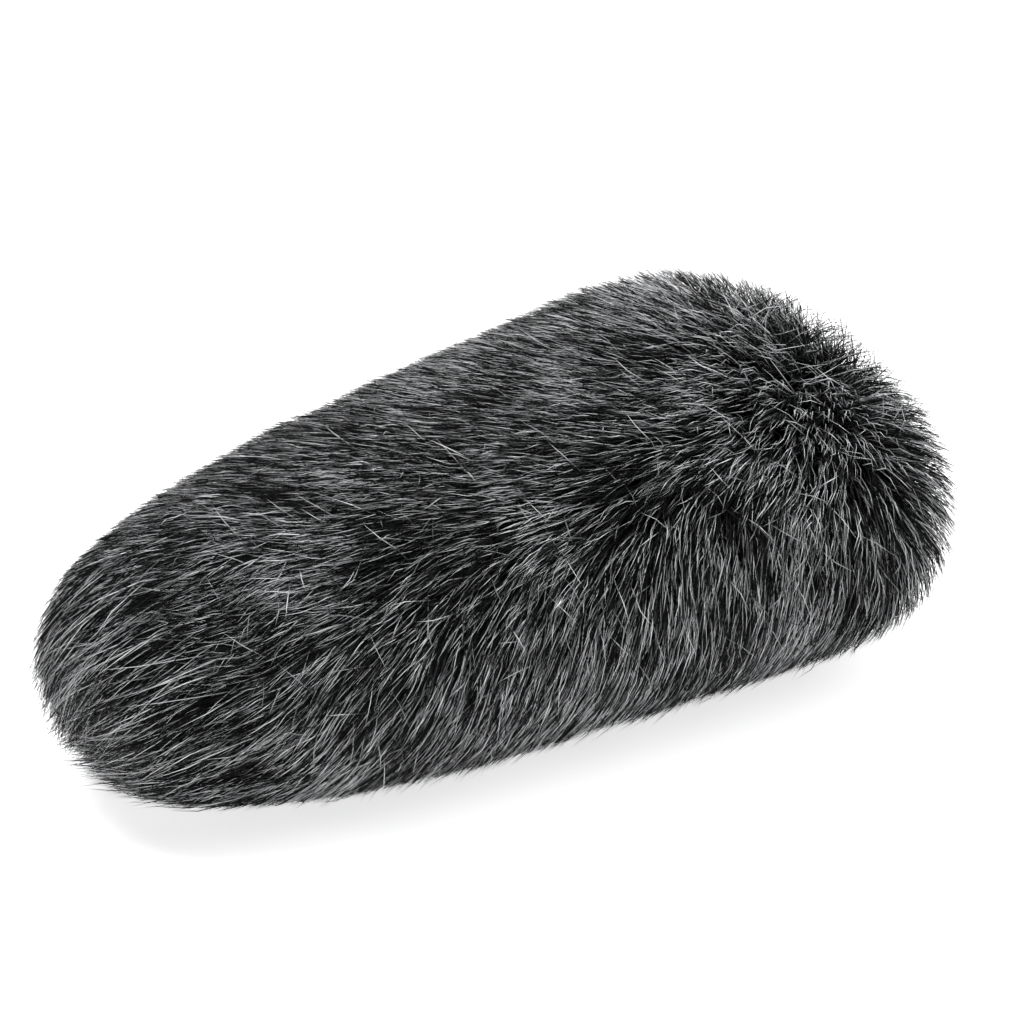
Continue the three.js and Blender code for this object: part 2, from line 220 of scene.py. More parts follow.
# ------------------------------------------------------------------ fur
WHORL = Vector((88, -13, 69)) * MM  # the hairs part here, high on the right of the nose
WHORL_CORE, WHORL_FADE = 16 * MM, 30 * MM  # wholly unruly within the first, less and less over the second
WHORL_EXTRA, WHORL_DENSE = 1.5, 26 * MM  # more roots by this share, within this distance
HAIR_LENGTH = 26 * MM
END_LIFT = math.radians(26)  # how far the tips stand off the surface
BEND_POWER = 1.4  # how early a hair bends over
FLOOR_GAP = 0.3 * MM
LONGEST_TRIM = 12 * MM
GRID_AROUND = 180

# The flanks' hairs hang: more and more from the first station, over the second length.
SAG_FROM, SAG_OVER = -90 * MM, 110 * MM
SAG_TOP_MOUTH, SAG_TOP_NOSE, SAG_FADE = 42 * MM, 58 * MM, 25 * MM
SAG_MOUTH, SAG_NOSE, SAG_POWER = 0.5, 1.2, 1.3

# How far tufts and hairs turn from the combed direction, in radians, and how much further at the whorl.
TUFT_WANDER, TUFT_YAW, TUFT_YAW_WHORL = 0.10, 0.1, 0.5
HAIR_YAW, HAIR_YAW_WHORL = 0.13, 0.5
STRAY_YAW, STRAY_YAW_WHORL = 0.6, 1.6
STRAY_SHARE, STRAY_SHARE_WHORL = 0.08, 0.55
WHORL_PROUD, STRAY_PROUD = 1.5 * MM, 1.5 * MM  # how much further out the tips are
WHORL_SHORTER = 0.1
yaw_waves, lift_waves, shade_waves = Waves(34 * MM), Waves(22 * MM), Waves(26 * MM)


def scatter(grid, count):
    """Random points spread evenly over a ring grid, and the outward vectors there."""
    nxt = np.roll(grid, -1, 1)
    a, b, c, d = grid[:-1], nxt[:-1], nxt[1:], grid[1:]
    normal = np.cross(b - a, d - a)
    far = np.linalg.norm(a - np.array(WHORL), axis=-1)
    area = (np.linalg.norm(normal, axis=-1) * (1 + WHORL_EXTRA * np.exp(-((far / WHORL_DENSE) ** 4)))).ravel()
    pick = rng.choice(len(area), count, p=area / area.sum())
    u, v = rng.random((2, count, 1))
    a, b, c, d = (q.reshape(-1, 3)[pick] for q in (a, b, c, d))
    return lerp(lerp(a, b, u), lerp(d, c, u), v), unit(normal.reshape(-1, 3)[pick])


def combed(points, normals):
    """The direction in which the hairs lie: away from the whorl, then towards the mouth and down."""
    away = points - np.array(WHORL)
    along = np.clip((points[:, 0] - SAG_FROM) / SAG_OVER, 0, 1)
    low = np.clip((lerp(SAG_TOP_MOUTH, SAG_TOP_NOSE, along) - points[:, 2]) / SAG_FADE, 0, 1)
    sag = lerp(SAG_MOUTH, SAG_NOSE, along**SAG_POWER) * low
    aim = unit(away) - sag[:, None] * np.array((0, 0, 1))
    return unit(aim - (aim * normals).sum(1, keepdims=True) * normals)


def turned(v, axis, angle):
    """v turned about axis by angle, row by row."""
    c, s = np.cos(angle)[:, None], np.sin(angle)[:, None]
    return v * c + np.cross(axis, v) * s + axis * (axis * v).sum(1, keepdims=True) * (1 - c)


def root_lift(ratio):
    """The lift at the root for which a hair rises by this share of its length."""
    lifts = np.radians(np.linspace(0, 110, 40))
    s = np.linspace(0, 1, 30)[:, None]
    rise = np.sin(END_LIFT + (lifts - END_LIFT) * (1 - s) ** BEND_POWER).mean(0)
    return np.interp(ratio, rise, lifts)


def trimmed(line, depth, hold=0.85):
    """The hairs with their tips brought to a depth below the tips' surface, pulled in by the share hold."""
    n, found = outside(line[:, -1])
    s = np.linspace(0, 1, line.shape[1])[None, :, None]
    miss = found - depth
    miss = np.where(miss < 0, hold * miss, np.minimum(miss, LONGEST_TRIM))
    line = line + (n * miss[:, None])[:, None, :] * s**1.2
    line[..., 2] = np.maximum(line[..., 2], FLOOR_GAP)
    return line


def grow(roots, normals, length, yaw, depth, steps):
    """Centre lines of hairs, as hair by step by xyz, from the backing out to a depth below the surface."""
    _, room = outside(roots)
    start = root_lift(np.clip((room - depth) / length, 0.05, 0.95))
    line = [roots]
    point = roots.copy()
    for k in range(steps):
        s = (k + 0.5) / steps
        n = normals if k == 0 else outside(point, 0.3)[0]
        flow = turned(combed(point, n), n, yaw)
        angle = (END_LIFT + (start - END_LIFT) * (1 - s) ** BEND_POWER)[:, None]
        way = flow * np.cos(angle) + n * np.sin(angle)
        point = point + way * (length / steps)[:, None]
        point[:, 2] = np.maximum(point[:, 2], FLOOR_GAP)
        line.append(point)
    return trimmed(np.stack(line, 1), depth)


def fur(count, clumps, thick, length_share, depth, pinch, steps):
    """Roots, centre lines, half thickness and shade of the hairs of one kind, drawn together in tufts."""
    grid = ring_grid(backing_rings(0), GRID_AROUND)
    heads, head_normals = scatter(grid, clumps)
    near = 1 - np.clip((np.linalg.norm(heads - np.array(WHORL), axis=1) - WHORL_CORE) / WHORL_FADE, 0, 1)
    head_turn = TUFT_YAW + TUFT_YAW_WHORL * near**3
    head_yaw = TUFT_WANDER * yaw_waves(heads) + rng.normal(0, 1, clumps) * head_turn
    head_long = HAIR_LENGTH * length_share * rng.uniform(0.9, 1.1, clumps) * (1 - WHORL_SHORTER * near)
    head_depth = depth * np.clip(1 + 0.3 * lift_waves(heads) + rng.normal(0, 0.3, clumps), 0.1, 2)
    head_line = grow(heads, head_normals, head_long, head_yaw, head_depth, steps)
    head_shade = np.clip(0.5 + 0.15 * shade_waves(heads) + rng.normal(0, 0.25, clumps), 0, 1)

    roots, normals = scatter(grid, count)
    tree = KDTree(clumps)
    for i, p in enumerate(heads):
        tree.insert(p, i)
    tree.balance()
    own = np.array([tree.find(p)[1] for p in roots])
    near = near[own]
    stray = rng.random(count) < STRAY_SHARE + STRAY_SHARE_WHORL * near
    turn = np.where(stray, STRAY_YAW + STRAY_YAW_WHORL * near, HAIR_YAW + HAIR_YAW_WHORL * near**3)
    yaw = head_yaw[own] + rng.normal(0, 1, count) * turn
    deep = np.maximum(head_depth[own] * rng.uniform(0.4, 1.6, count), 0) - 0.4 * MM
    deep -= stray * rng.uniform(0, STRAY_PROUD, count) + WHORL_PROUD * near
    long = HAIR_LENGTH * length_share * rng.uniform(0.8, 1.15, count) * (1 - WHORL_SHORTER * near)
    line = grow(roots, normals, long, yaw, deep, steps)

    s = np.linspace(0, 1, steps + 1)[None, :, None]
    hold = np.where(stray, 0.0, rng.uniform(0.2, 1.0, count) * pinch)[:, None, None]
    offset = (roots - heads[own])[:, None, :]
    target = head_line[own] + offset * (1 - 0.8 * s)
    line = lerp(line, target, hold * s**1.1)
    frizz = (0.3 + 0.2 * near)[:, None, None] * MM
    line = line + rng.normal(0, 1, (count, steps + 1, 3)) * frizz * np.sqrt(s)
    line[..., 2] = np.maximum(line[..., 2], 0.25 * MM)
    radius = thick * rng.uniform(0.75, 1.25, count)
    shade = np.clip(0.25 * head_shade[own] + 0.75 * rng.random(count), 0, 1)
    return roots, line, radius, shade


def fringe(count, thick, steps):
    """The long hairs of the hem band, which close over the mouth like a curtain."""
    rings = backing_rings(0)
    roots, _ = scatter(ring_grid(rings[rings[:, 0] < X_BAND + 1 * MM], GRID_AROUND), count)
    long = rng.uniform(24, 35, count) * MM
    goal = np.array((0, 10 * MM, AXIS_Z - 8 * MM)) + rng.normal(0, 8 * MM, (count, 3))
    inward = goal - roots
    inward *= np.array((0, 1, 1)) * rng.uniform(0.0, 0.8, (count, 1))
    inward[:, 2] = np.minimum(inward[:, 2], 0)
    side = rng.normal(0, 2.0, (count, 3)) * MM
    s = np.linspace(0, 1, steps + 1)[None, :, None]
    z = roots[:, 2:]
    low = np.clip((50 * MM - z) / (20 * MM), 0, 1) * np.clip((z - 6 * MM) / (10 * MM), 0, 1)
    aim = np.array((-0.93, 0, 0)) - 0.55 * low * np.array((0, 0, 1)) + rng.normal(0, 0.08, (count, 3))
    line = roots[:, None, :] + s * long[:, None, None] * aim[:, None, :]
    line = line + (inward[:, None, :] + side[:, None, :]) * s**2
    line = line + rng.normal(0, 0.25 * MM, line.shape) * np.sqrt(s)
    line[..., 2] -= (3 * MM * s**2)[..., 0]
    line = trimmed(line, rng.uniform(-1, 5, count) * MM, hold=1.0)
    # The fringe's hairs run darker than the rest: painted shade on the mouth end.
    shade = 0.95 * rng.random(count) ** 1.4
    return roots, line, thick * rng.uniform(0.75, 1.25, count), shade


def hair_mesh(name, line, radius, shade):
    """Closed three-sided hairs, tapered to a point, with shade and place along the hair in the UV map."""
    hairs, rings = line.shape[0], line.shape[1] - 1
    way = unit(np.gradient(line, axis=1))
    side = unit(np.cross(way, unit(rng.normal(size=(hairs, 1, 3)))))
    other = np.cross(way, side)
    s = np.arange(rings) / rings
    taper = (0.8 + 0.5 * s - 0.9 * s**3) * radius[:, None]
    corners = []
    for k in range(3):
        a = 2 * math.pi * k / 3
        out = math.cos(a) * side[:, :rings] + math.sin(a) * other[:, :rings]
        corners.append(line[:, :rings] + out * taper[..., None])
    body = np.stack(corners, 2).reshape(hairs, rings * 3, 3)
    verts = np.concatenate([body, line[:, rings:]], 1)
    per = rings * 3 + 1

    quads = []
    for r in range(rings - 1):
        for k in range(3):
            j = (k + 1) % 3
            quads.append((3 * r + k, 3 * r + j, 3 * r + 3 + j, 3 * r + 3 + k))
    low = 3 * (rings - 1)
    tris = [(low + k, low + (k + 1) % 3, per - 1) for k in range(3)] + [(2, 1, 0)]
    base = (np.arange(hairs) * per)[:, None, None]
    quad_loops = (np.array(quads)[None] + base).reshape(-1)
    tri_loops = (np.array(tris)[None] + base).reshape(-1)
    loops = np.concatenate([quad_loops, tri_loops])
    sizes = np.concatenate([np.full(len(quad_loops) // 4, 4), np.full(len(tri_loops) // 3, 3)])

    mesh = bpy.data.meshes.new(name)
    mesh.vertices.add(hairs * per)
    mesh.vertices.foreach_set("co", verts.astype(np.float32).ravel())
    mesh.loops.add(len(loops))
    mesh.loops.foreach_set("vertex_index", loops.astype(np.int32))
    mesh.polygons.add(len(sizes))
    mesh.polygons.foreach_set("loop_start", np.concatenate([[0], np.cumsum(sizes)[:-1]]).astype(np.int32))
    mesh.polygons.foreach_set("use_smooth", np.ones(len(sizes), bool))
    mesh.update(calc_edges=True)

    along = np.concatenate([np.repeat(s, 3), [1.0]])
    across = np.concatenate([np.tile([-1.0, 0.0, 1.0], rings), [0.0]]) * 0.004
    u = (0.02 + 0.96 * shade[:, None] + across[None]).ravel()
    v = (0.01 + 0.98 * np.repeat(along[None], hairs, 0)).ravel()
    layer = mesh.uv_layers.new(name="OFBake")
    layer.data.foreach_set("uv", np.stack([u, v], 1)[loops].astype(np.float32).ravel())
    piece = bpy.data.objects.new(name, mesh)
    bpy.context.scene.collection.objects.link(piece)
    return piece


# ------------------------------------------------------------------ materials
def new_material(name):
    """A material, its node tree and its shader."""
    material = bpy.data.materials.new(name)
    material.use_nodes = True
    tree = material.node_tree
    return material, tree, tree.nodes["Principled BSDF"]


def ramp(tree, stops):
    """A colour ramp with these places and colours."""
    node = tree.nodes.new("ShaderNodeValToRGB")
    elements = node.color_ramp.elements
    while len(elements) < len(stops):
        elements.new(0.5)
    for element, (place, colour) in zip(elements, stops):
        element.position = place
        element.color = (*colour, 1)
    return node


def hair_material():
    """Black at the root and grey at the tip, the darkening towards the root being painted shade of the deep
    pile and the near-white tips of the light hairs partly painted highlight: the shade of each hair is across
    the UV map, the tip is up.
    """
    material, tree, shader = new_material("fur_hair")
    uv = tree.nodes.new("ShaderNodeUVMap")
    uv.uv_map = "OFBake"
    split = tree.nodes.new("ShaderNodeSeparateXYZ")
    tree.links.new(uv.outputs["UV"], split.inputs[0])
    # Dark hairs: their darkening towards the root is painted shade of the deep pile.
    dark = ramp(tree, [
        (0.0, (0.0008, 0.0008, 0.0008)), (0.4, (0.001, 0.001, 0.001)),
        (0.7, (0.0025, 0.0027, 0.003)), (1.0, (0.009, 0.0095, 0.01)),
    ])
    # Light grey hairs: the grey is their own, the darkening towards the root is painted shade of the deep
    # pile, and the near-white tips are partly painted highlight in place of gloss.
    light = ramp(tree, [
        (0.0, (0.003, 0.003, 0.003)), (0.4, (0.04, 0.042, 0.044)),
        (0.7, (0.6, 0.61, 0.62)), (1.0, (0.9, 0.91, 0.92)),
    ])
    share = ramp(tree, [
        (0.0, (0, 0, 0)), (0.62, (0.01, 0.01, 0.01)), (0.72, (0.5, 0.5, 0.5)), (0.84, (1, 1, 1)),
    ])
    for node in (dark, light):
        tree.links.new(split.outputs["Y"], node.inputs[0])
    tree.links.new(split.outputs["X"], share.inputs[0])
    mix = tree.nodes.new("ShaderNodeMix")
    mix.data_type = "RGBA"
    tree.links.new(share.outputs[0], mix.inputs["Factor"])
    tree.links.new(dark.outputs[0], mix.inputs[6])
    tree.links.new(light.outputs[0], mix.inputs[7])
    tree.links.new(mix.outputs[2], shader.inputs["Base Color"])
    shader.inputs["Roughness"].default_value = 0.42
    shader.inputs["Specular IOR Level"].default_value = 0.03
    return material


def noise_bump(tree, shader, scale, strength, kind="ShaderNodeTexNoise"):
    """Fine relief from a procedural pattern in the piece's own coordinates."""
    place = tree.nodes.new("ShaderNodeTexCoord")
    pattern = tree.nodes.new(kind)
    pattern.inputs["Scale"].default_value = scale
    bump = tree.nodes.new("ShaderNodeBump")
    bump.inputs["Strength"].default_value = strength
    bump.inputs["Distance"].default_value = 0.3 * MM
    tree.links.new(place.outputs["Object"], pattern.inputs["Vector"])
    tree.links.new(pattern.outputs[0], bump.inputs["Height"])
    tree.links.new(bump.outputs[0], shader.inputs["Normal"])
    return pattern


GLOSS_SPREAD = 0.08


def mottled(
    name, dark, light, scale, bump_scale, strength, roughness,
    kind="ShaderNodeTexNoise", metallic=0.0, grain=0.35,
):
    """A material whose colour wanders between two tones, with fine relief and uneven gloss."""
    material, tree, shader = new_material(name)
    pattern = noise_bump(tree, shader, bump_scale, strength, kind)
    place = tree.nodes.new("ShaderNodeTexCoord")
    noise = tree.nodes.new("ShaderNodeTexNoise")
    noise.inputs["Scale"].default_value = scale
    noise.inputs["Detail"].default_value = 6
    tree.links.new(place.outputs["Object"], noise.inputs["Vector"])
    blend = tree.nodes.new("ShaderNodeMath")
    blend.operation = "MULTIPLY_ADD"
    blend.inputs[1].default_value = grain
    tree.links.new(pattern.outputs[0], blend.inputs[0])
    tree.links.new(noise.outputs[0], blend.inputs[2])
    colour = ramp(tree, [(0.35, dark), (0.95, light)])
    tree.links.new(blend.outputs[0], colour.inputs[0])
    tree.links.new(colour.outputs[0], shader.inputs["Base Color"])
    gloss = tree.nodes.new("ShaderNodeMapRange")
    gloss.inputs["To Min"].default_value = roughness - GLOSS_SPREAD
    gloss.inputs["To Max"].default_value = roughness + GLOSS_SPREAD
    tree.links.new(noise.outputs[0], gloss.inputs["Value"])
    tree.links.new(gloss.outputs[0], shader.inputs["Roughness"])
    shader.inputs["Metallic"].default_value = metallic
    return material


def woven(name, dark, light, threads, roughness, twist=0.0):
    """Cloth: two crossed sets of threads in the UV map's directions, given as threads across it."""
    material, tree, shader = new_material(name)
    uv = tree.nodes.new("ShaderNodeUVMap")
    uv.uv_map = "OFBake"
    waves = []
    for axis, count in (("X", threads[0]), ("Y", threads[1])):
        wave = tree.nodes.new("ShaderNodeTexWave")
        wave.bands_direction = axis
        wave.inputs["Scale"].default_value = count
        wave.inputs["Distortion"].default_value = 0.6 + twist
        wave.inputs["Detail Scale"].default_value = 2
        tree.links.new(uv.outputs["UV"], wave.inputs["Vector"])
        waves.append(wave)
    weave = tree.nodes.new("ShaderNodeMath")
    weave.operation = "MULTIPLY"
    tree.links.new(waves[0].outputs[1], weave.inputs[0])
    tree.links.new(waves[1].outputs[1], weave.inputs[1])
    colour = ramp(tree, [(0.0, dark), (1.0, light)])
    tree.links.new(weave.outputs[0], colour.inputs[0])
    tree.links.new(colour.outputs[0], shader.inputs["Base Color"])
    bump = tree.nodes.new("ShaderNodeBump")
    bump.inputs["Strength"].default_value = 0.6
    bump.inputs["Distance"].default_value = 0.2 * MM
    tree.links.new(weave.outputs[0], bump.inputs["Height"])
    tree.links.new(bump.outputs[0], shader.inputs["Normal"])
    shader.inputs["Roughness"].default_value = roughness
    shader.inputs["Sheen Weight"].default_value = 0.15
    return material


def grey(level, cool=0.06):
    """A slightly blue grey."""
    return (level, level * (1 + cool / 2), level * (1 + cool))


HAIR = hair_material()
BACKING = woven("fur_backing", grey(0.002), grey(0.009), (260, 180), 0.95)
FOAM = mottled(
    "open_cell_foam", grey(0.006), grey(0.055), 60, 1100, 0.9, 0.9, "ShaderNodeTexVoronoi", grain=0.8
)
KNIT = woven("rib_knit", grey(0.006), grey(0.035), (220, 160), 0.9, 0.5)
TAPE = woven("twill_tape", grey(0.010), grey(0.045), (40, 220), 0.8, 1.2)
ELASTIC = woven("braided_elastic", grey(0.006), grey(0.030), (30, 400), 0.65)
PLASTIC = mottled("moulded_plastic", grey(0.012), grey(0.026), 120, 2600, 0.15, 0.42)
RUBBER = mottled("moulded_rubber", grey(0.008), grey(0.018), 150, 1800, 0.12, 0.6)
STEEL = mottled("crimped_steel", grey(0.35), grey(0.6), 500, 1500, 0.1, 0.35, metallic=1.0)


# ------------------------------------------------------------------ the cover's pieces
def panel_of(points):
    """The name of the fur panel that each root is on."""
    angle = np.degrees(np.arctan2(points[:, 2] - AXIS_Z, points[:, 1]))
    corner = math.degrees(CORNER)
    names = np.full(len(points), "fur_top_panel", dtype=object)
    names[np.abs(angle) < corner] = "fur_left_panel"
    names[np.abs(angle) > 180 - corner] = "fur_right_panel"
    names[(angle < -corner) & (angle > corner - 180)] = "fur_belly_panel"
    names[points[:, 0] > X_NOSE_SEAM] = "fur_nose_panel"
    names[points[:, 0] < X_BAND] = "fur_hem_band"
    return names


MOST_TRIANGLES = 190000  # in one piece


def place_fur(kind, roots, line, radius, shade):
    """Hairs as pieces of a bounded size, each on the panel that its roots are on."""
    names = panel_of(roots)
    for panel in sorted(set(names)):
        mine = np.flatnonzero(names == panel)
        mine = mine[np.argsort(roots[mine, 0])]
        steps = line.shape[1] - 1
        most = MOST_TRIANGLES // (6 * (steps - 1) + 4)
        for i, part in enumerate(np.array_split(mine, math.ceil(len(mine) / most))):
            piece = hair_mesh(f"{panel}_{kind}_{i + 1}", line[part], radius[part], shade[part])
            piece.data.materials.append(HAIR)
            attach(piece, COVER)
            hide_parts(panel)


place_fur("guard", *fur(112000, 10000, 0.11 * MM, 1.0, 1.2 * MM, 0.65, 5))
place_fur("under", *fur(40000, 4200, 0.16 * MM, 0.6, 8 * MM, 0.6, 4))
place_fur("fringe", *fringe(9000, 0.13 * MM, 5))


# ------------------------------------------------------------------ meshes of the other pieces
SHARP_EDGE = math.radians(35)


def add_piece(name, verts, faces, uvs, material, body, slot, replaced):
    """A mesh from points, faces and a UV for each face corner, riding on a body."""
    mesh = bpy.data.meshes.new(name)
    mesh.from_pydata(verts.tolist(), [], faces)
    layer = mesh.uv_layers.new(name="OFBake")
    layer.data.foreach_set("uv", np.clip(np.array(uvs, np.float32), 0, 1).ravel())
    mesh.polygons.foreach_set("use_smooth", [True] * len(faces))
    mesh.set_sharp_from_angle(angle=SHARP_EDGE)
    mesh.materials.append(material)
    piece = bpy.data.objects.new(name, mesh)
    bpy.context.scene.collection.objects.link(piece)
    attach(piece, body)
    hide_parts(*replaced)
    return piece


class Skin:
    """Collects grids of points into one mesh: rows run towards +X, columns turn from +Y to +Z."""

    def __init__(self):
        self.verts, self.faces, self.uvs, self.count = [], [], [], 0

    def add(self, points):
        self.verts.append(points.reshape(-1, 3))
        self.count += points.size // 3
        return self.count - points.size // 3

    def face(self, corners, uv):
        self.faces.append(tuple(int(c) for c in corners))
        self.uvs.extend(uv)

    def grid(self, points, wrap, patch, inward=False):
        rows, cols = points.shape[:2]
        first = self.add(points)
        u0, u1 = patch
        for i in range(rows - 1):
            for j in range(cols if wrap else cols - 1):
                k = (j + 1) % cols
                corners = [(i, j, j), (i, k, j + 1), (i + 1, k, j + 1), (i + 1, j, j)]
                if inward:
                    corners.reverse()
                self.face(
                    [first + r * cols + c for r, c, _ in corners],
                    [(u0 + (u1 - u0) * at / cols, r / rows) for r, _, at in corners],
                )
        return first

    def fan(self, first, cols, middle, inward):
        """Closes a ring of corners that starts at first, with triangles to a point in its middle."""
        middle = self.add(middle[None])
        for j in range(cols):
            corners = [first + j, first + (j + 1) % cols, middle]
            self.face(corners[::-1] if inward else corners, [(0.97, 0.97), (0.98, 0.97), (0.97, 0.98)])

    def ribbon(self, a, b, patch):
        """Faces between two lines of corners, given as lists of indices of the same length."""
        u0, u1 = patch
        n = len(a) - 1
        for k in range(n):
            self.face(
                [a[k], a[k + 1], b[k + 1], b[k]],
                [(u0, k / n), (u0, (k + 1) / n), (u1, (k + 1) / n), (u1, k / n)],
            )

    def piece(self, name, *rest):
        return add_piece(name, np.concatenate(self.verts), self.faces, self.uvs, *rest)


def shell(outer, inner, wrap=True, tip=False):
    """A closed skin round an outer and an inner grid. With tip, each grid's last ring is filled by a fan."""
    skin = Skin()
    rows, cols = outer.shape[:2]
    a = skin.grid(outer, wrap, (0.0, 0.46))
    b = skin.grid(inner, wrap, (0.5, 0.96), inward=True)
    ring = list(range(cols)) + ([0] if wrap else [])
    skin.ribbon([b + j for j in ring], [a + j for j in ring], (0.96, 0.98))
    top = (rows - 1) * cols
    if tip:
        skin.fan(a + top, cols, outer[-1].mean(0), False)
        skin.fan(b + top, cols, inner[-1].mean(0), True)
    else:
        skin.ribbon([a + top + j for j in ring], [b + top + j for j in ring], (0.98, 1.0))
    if not wrap:
        line = [r * cols for r in range(rows)]
        skin.ribbon([a + r for r in line], [b + r for r in line], (0.46, 0.48))
        skin.ribbon([b + r + cols - 1 for r in line], [a + r + cols - 1 for r in line], (0.48, 0.5))
    return skin


def reach(half_width, half_height, centre, angle):
    """How far an oval lies from the insert's axis in a direction."""
    c, s = np.cos(angle), np.sin(angle)
    drop = AXIS_Z - centre
    p = (c / half_width) ** 2 + (s / half_height) ** 2
    q = s * drop / half_height**2
    r = (drop / half_height) ** 2 - 1
    return (-q + np.sqrt(q * q - p * r)) / p


def around_axis(x, radius, angle):
    """Points about the insert's axis, from stations, distances and angles."""
    x = np.broadcast_to(x, radius.shape)
    return np.stack([x, radius * np.cos(angle), AXIS_Z + radius * np.sin(angle)], -1)


def full_turn(count):
    """Angles round a circle, as one row."""
    return np.linspace(0, 2 * math.pi, count, endpoint=False)[None]


def insert_radius(x, tip, grow, angle, dome):
    """The insert's oval, grown, with its fuller dome, as distances from its axis."""
    rise = np.clip((x - (tip - dome)) / dome, 0, 1)
    size = np.maximum(1 - rise**2, 1e-6) ** (0.5 * DOME_POWER)
    return reach(HALF_WIDTH + grow, HALF_HEIGHT + grow, AXIS_Z, angle) * size


def nose_stations(x_low, x_tip, dome, step):
    """Stations up to a rounded tip, closer together towards it."""
    straight = x_tip - dome
    body = np.linspace(x_low, straight, max(int((straight - x_low) / step), 2), endpoint=False)
    return np.concatenate([body, straight + dome * np.sin(np.linspace(0, math.pi / 2 - 0.02, 14))])[:, None]


def backing_radius(x, depth, angle):
    """The surface at a depth under the backing, as distances from the insert's axis."""
    w, h, c, size = cover_section(x, depth)
    return reach(np.maximum(w * size, 1e-5), np.maximum(h * size, 1e-5), c, angle)


def pitted(radius, depth):
    """Small open cells in a foam surface."""
    return radius - depth * rng.random(radius.shape) ** 3


# ------------------------------------------------------------------ the insert
sleeve_low, sleeve_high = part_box("foam_sleeve_upper")
plug_low, plug_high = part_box("foam_nose_plug")
liner_low, liner_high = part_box("bore_liner")
grommet_low, grommet_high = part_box("mic_grommet")
GAP = 0.3 * MM
DOME_LENGTH, DOME_POWER = 10 * MM, 0.7
LINER_WALL = 0.6 * MM
BORE_R = liner_high.y - LINER_WALL
FLANGE_R, FLANGE_THICK = grommet_high.y, 2.2 * MM
COLLAR_HOLE = 11.9 * MM
NECK_R = COLLAR_HOLE - GAP
LIP_R, RELIEF_R, LIP_WIDTH = BORE_R - 0.6 * MM, BORE_R + 0.4 * MM, 1.4 * MM
SPIGOT_ROUND, FOAM_ROUND, MOULDED_ROUND = 0.7 * MM, 1.2 * MM, 1.1 * MM
FOAM_PIT = 0.45 * MM
GLUE_ANGLE = 0.012  # half the open angle between the foam's two halves
LINER_RIB, LINER_RIBS = 0.12 * MM, 48


def make_foam_sleeve():
    """Two halves of open-cell foam, glued round the bore."""
    x = np.linspace(sleeve_low.x, sleeve_high.x, 150)[:, None]
    edge = np.clip(np.minimum(x - sleeve_low.x, sleeve_high.x - x) / FOAM_ROUND, 0, 1)
    for name, low in (("foam_sleeve_upper", 0), ("foam_sleeve_lower", math.pi)):
        angle = np.linspace(low + GLUE_ANGLE, low + math.pi - GLUE_ANGLE, 90)[None]
        outer = insert_radius(x, sleeve_high.x + FUR_LENGTH, 0, angle, DOME_LENGTH)
        outer = pitted(outer - FOAM_ROUND * (1 - np.sqrt(edge * (2 - edge))), FOAM_PIT)
        step = np.where(x < sleeve_low.x + FLANGE_THICK + 1.5 * GAP, FLANGE_R + GAP, liner_high.y + GAP)
        inner = np.broadcast_to(step, outer.shape)
        skin = shell(around_axis(x, outer, angle), around_axis(x, inner, angle), wrap=False)
        skin.piece(name + "_foam", FOAM, INSERT, "foam", [name])


def make_foam_nose_plug():
    """The domed end of the insert, with a spigot that stops the bore."""
    angle = full_turn(150)
    face = sleeve_high.x + GAP
    spigot_x = np.array([plug_low.x, plug_low.x + SPIGOT_ROUND, face - SPIGOT_ROUND, face])[:, None]
    spigot = np.array([liner_high.y - SPIGOT_ROUND, liner_high.y, liner_high.y, liner_high.y])[:, None]
    spigot = spigot * np.ones_like(angle)
    flat = np.linspace(0.1, 1, 10)[:, None]
    wide = insert_radius(np.array([[face]]), plug_high.x, 0, angle, DOME_LENGTH)
    shelf = lerp(liner_high.y, wide, flat)
    shelf_x = np.full((10, 1), face) + 0.4 * MM * flat**6
    dome_x = nose_stations(face + 0.8 * MM, plug_high.x, DOME_LENGTH - 1.2 * MM, 1 * MM)
    dome = pitted(insert_radius(dome_x, plug_high.x, 0, angle, DOME_LENGTH), FOAM_PIT)
    x = np.concatenate([spigot_x, shelf_x, dome_x])
    skin = Skin()
    first = skin.grid(around_axis(x, np.concatenate([spigot, shelf, dome]), angle), True, (0, 0.96))
    cols = angle.shape[1]
    for ring, inward in ((0, True), (len(x) - 1, False)):
        skin.fan(first + ring * cols, cols, np.array([x[ring, 0], 0, AXIS_Z]), inward)
    skin.piece("foam_nose_plug_foam", FOAM, INSERT, "foam", ["foam_nose_plug"])


def make_bore_liner():
    """A ribbed knitted tube that lines the bore."""
    angle = full_turn(192)
    x = np.linspace(liner_low.x, liner_high.x, 90)[:, None]
    ribs = LINER_RIB * (0.5 - 0.5 * np.cos(LINER_RIBS * angle)) * np.ones_like(x)
    inner = BORE_R + ribs
    outer = liner_high.y - 0.5 * ribs
    piece = shell(around_axis(x, outer, angle), around_axis(x, inner, angle)).piece(
        "bore_liner_knit", KNIT, INSERT, "knit_lining", ["bore_liner"]
    )


def turned_ring(name, profile, count, *rest):
    """A ring turned about the insert's axis from a closed profile of stations and radii."""
    profile = np.array(profile)
    x, radius = profile[:, :1], profile[:, 1:] * np.ones((1, count))
    points = around_axis(x, radius, full_turn(count))
    skin = Skin()
    skin.grid(np.concatenate([points, points[:1]]), True, (0, 1))
    weld(skin.piece(name, *rest))


def weld(piece):
    """Joins points that coincide and turns all faces outwards."""
    tool = bmesh.new()
    tool.from_mesh(piece.data)
    bmesh.ops.remove_doubles(tool, verts=tool.verts, dist=0.001 * MM)
    bmesh.ops.recalc_face_normals(tool, faces=tool.faces)
    tool.to_mesh(piece.data)
    tool.free()


